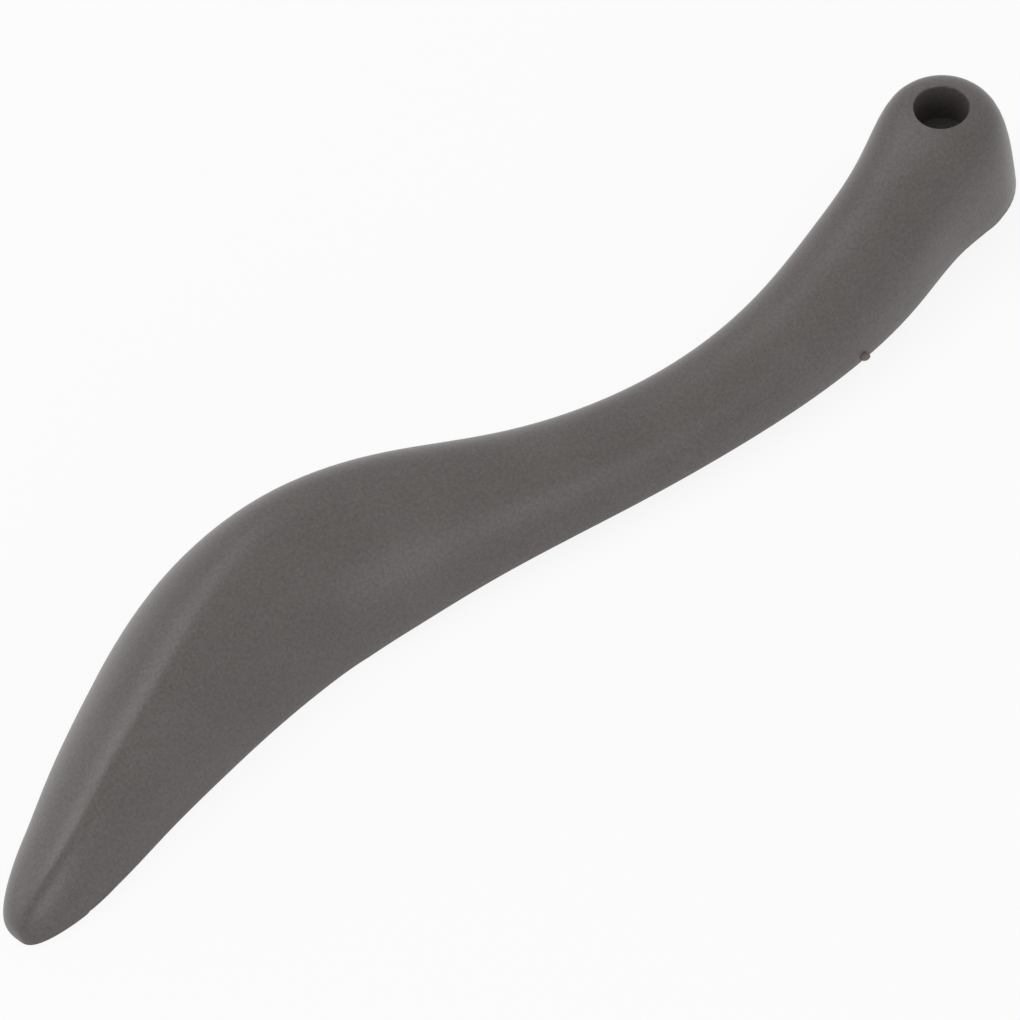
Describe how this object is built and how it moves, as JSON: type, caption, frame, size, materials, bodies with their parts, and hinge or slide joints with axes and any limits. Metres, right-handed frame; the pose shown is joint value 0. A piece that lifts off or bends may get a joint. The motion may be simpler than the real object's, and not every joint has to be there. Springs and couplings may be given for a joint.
{
  "type": "car seat recliner lever",
  "caption": "One-piece plastic hand lever with a flat S-shaped neck and a broad rounded grip; screws onto a seat recliner's flatted shaft.",
  "frame": {"origin": "on the shaft axis, in the plane of the hub's foot ring", "axes": "+X from the hub to the tip of the grip, +Z along the shaft axis out of the seat, +Y towards the broad flank of the grip"},
  "size_m": [0.2135, 0.0509, 0.0219],
  "materials": {
    "grained_plastic": "fine moulded grain, dark warm grey"
  },
  "bodies": {
    "root": {"recliner_lever": "grained_plastic"}
  },
  "joints": []
}
